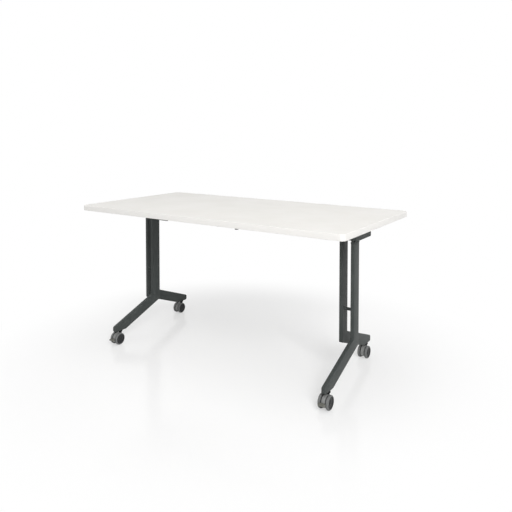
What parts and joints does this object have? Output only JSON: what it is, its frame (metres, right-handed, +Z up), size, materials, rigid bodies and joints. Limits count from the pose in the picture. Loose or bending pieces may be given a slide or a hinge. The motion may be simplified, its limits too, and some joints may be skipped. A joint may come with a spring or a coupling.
{
  "type": "flip top training table",
  "caption": "Wheeled training table with a white laminate top that flips up on two dark twin-blade steel legs for nested storage.",
  "frame": {"origin": "on the floor, under the middle of the top", "axes": "+X along the table's length, -Y towards the user's side, +Z up"},
  "size_m": [1.5, 0.75, 0.73],
  "materials": {
    "laminate": "satin white laminate on chipboard",
    "edging": "satin",
    "powder_coat": "fine graphite powder coat",
    "steel": "satin",
    "black_plastic": "matte",
    "rubber": "matte",
    "grey_plastic": "satin",
    "dark_plastic": "satin",
    "tread": "satin"
  },
  "bodies": {
    "base": {"left_front_blade": "powder_coat", "left_rear_blade": "powder_coat", "right_front_blade": "powder_coat", "right_rear_blade": "powder_coat", "left_spacer_rod": "powder_coat", "right_spacer_rod": "powder_coat", "left_head_plate": "powder_coat", "right_head_plate": "powder_coat", "left_pivot_lug": "powder_coat", "right_pivot_lug": "powder_coat", "left_pivot_pin": "steel", "right_pivot_pin": "steel", "cross_beam": "powder_coat", "left_beam_cap": "black_plastic", "right_beam_cap": "black_plastic", "left_rest_buffer": "rubber", "right_rest_buffer": "rubber", "front_left_caster_stem": "black_plastic", "front_right_caster_stem": "black_plastic", "rear_left_caster_stem": "black_plastic", "rear_right_caster_stem": "black_plastic"},
    "top": {"top_panel": "laminate", "edge_band": "edging", "left_flip_bracket": "powder_coat", "right_flip_bracket": "powder_coat", "left_lock_drum": "steel", "right_lock_drum": "steel"},
    "release": {"release_shaft": "steel", "release_lever": "black_plastic", "left_lock_cam": "steel", "right_lock_cam": "steel"},
    "front_left_caster": {"front_left_caster_hood": "grey_plastic", "front_left_caster_axle": "steel"},
    "front_right_caster": {"front_right_caster_hood": "grey_plastic", "front_right_caster_axle": "steel"},
    "rear_left_caster": {"rear_left_caster_hood": "grey_plastic", "rear_left_caster_axle": "steel"},
    "rear_right_caster": {"rear_right_caster_hood": "grey_plastic", "rear_right_caster_axle": "steel"},
    "front_left_brake": {"front_left_brake_pedal": "grey_plastic"},
    "front_right_brake": {"front_right_brake_pedal": "grey_plastic"},
    "front_left_left_wheel": {"front_left_left_wheel_core": "dark_plastic", "front_left_left_wheel_tyre": "tread"},
    "front_left_right_wheel": {"front_left_right_wheel_core": "dark_plastic", "front_left_right_wheel_tyre": "tread"},
    "front_right_left_wheel": {"front_right_left_wheel_core": "dark_plastic", "front_right_left_wheel_tyre": "tread"},
    "front_right_right_wheel": {"front_right_right_wheel_core": "dark_plastic", "front_right_right_wheel_tyre": "tread"},
    "rear_left_left_wheel": {"rear_left_left_wheel_core": "dark_plastic", "rear_left_left_wheel_tyre": "tread"},
    "rear_left_right_wheel": {"rear_left_right_wheel_core": "dark_plastic", "rear_left_right_wheel_tyre": "tread"},
    "rear_right_left_wheel": {"rear_right_left_wheel_core": "dark_plastic", "rear_right_left_wheel_tyre": "tread"},
    "rear_right_right_wheel": {"rear_right_right_wheel_core": "dark_plastic", "rear_right_right_wheel_tyre": "tread"}
  },
  "joints": [
    {"name": "top_flip", "type": "hinge", "parent": "base", "child": "top", "pos_m": [0, -0.014, 0.668], "axis": [1, 0, 0], "range_deg": [0, 90]},
    {"name": "release_turn", "type": "hinge", "parent": "base", "child": "release", "pos_m": [0, 0, 0.6496], "axis": [1, 0, 0], "range_deg": [0, 25], "stiffness_Nm_per_rad": 0.6, "springref_deg": -17.19},
    {"name": "front_left_swivel", "type": "hinge", "parent": "base", "child": "front_left_caster", "pos_m": [-0.5735, -0.281, 0.05], "axis": [0, 0, 1], "continuous": true},
    {"name": "front_right_swivel", "type": "hinge", "parent": "base", "child": "front_right_caster", "pos_m": [0.6405, -0.281, 0.05], "axis": [0, 0, 1], "continuous": true},
    {"name": "rear_left_swivel", "type": "hinge", "parent": "base", "child": "rear_left_caster", "pos_m": [-0.6405, 0.281, 0.05], "axis": [0, 0, 1], "continuous": true},
    {"name": "rear_right_swivel", "type": "hinge", "parent": "base", "child": "rear_right_caster", "pos_m": [0.5735, 0.281, 0.05], "axis": [0, 0, 1], "continuous": true},
    {"name": "front_left_brake_press", "type": "hinge", "parent": "front_left_caster", "child": "front_left_brake", "pos_m": [-0.5735, -0.321, 0.03], "axis": [1, 0, 0], "range_deg": [0, 15]},
    {"name": "front_right_brake_press", "type": "hinge", "parent": "front_right_caster", "child": "front_right_brake", "pos_m": [0.6405, -0.321, 0.03], "axis": [1, 0, 0], "range_deg": [0, 15]},
    {"name": "front_left_left_roll", "type": "hinge", "parent": "front_left_caster", "child": "front_left_left_wheel", "pos_m": [-0.5735, -0.299, 0.03], "axis": [1, 0, 0], "continuous": true},
    {"name": "front_left_right_roll", "type": "hinge", "parent": "front_left_caster", "child": "front_left_right_wheel", "pos_m": [-0.5735, -0.299, 0.03], "axis": [1, 0, 0], "continuous": true},
    {"name": "front_right_left_roll", "type": "hinge", "parent": "front_right_caster", "child": "front_right_left_wheel", "pos_m": [0.6405, -0.299, 0.03], "axis": [1, 0, 0], "continuous": true},
    {"name": "front_right_right_roll", "type": "hinge", "parent": "front_right_caster", "child": "front_right_right_wheel", "pos_m": [0.6405, -0.299, 0.03], "axis": [1, 0, 0], "continuous": true},
    {"name": "rear_left_left_roll", "type": "hinge", "parent": "rear_left_caster", "child": "rear_left_left_wheel", "pos_m": [-0.6405, 0.263, 0.03], "axis": [1, 0, 0], "continuous": true},
    {"name": "rear_left_right_roll", "type": "hinge", "parent": "rear_left_caster", "child": "rear_left_right_wheel", "pos_m": [-0.6405, 0.263, 0.03], "axis": [1, 0, 0], "continuous": true},
    {"name": "rear_right_left_roll", "type": "hinge", "parent": "rear_right_caster", "child": "rear_right_left_wheel", "pos_m": [0.5735, 0.263, 0.03], "axis": [1, 0, 0], "continuous": true},
    {"name": "rear_right_right_roll", "type": "hinge", "parent": "rear_right_caster", "child": "rear_right_right_wheel", "pos_m": [0.5735, 0.263, 0.03], "axis": [1, 0, 0], "continuous": true}
  ]
}
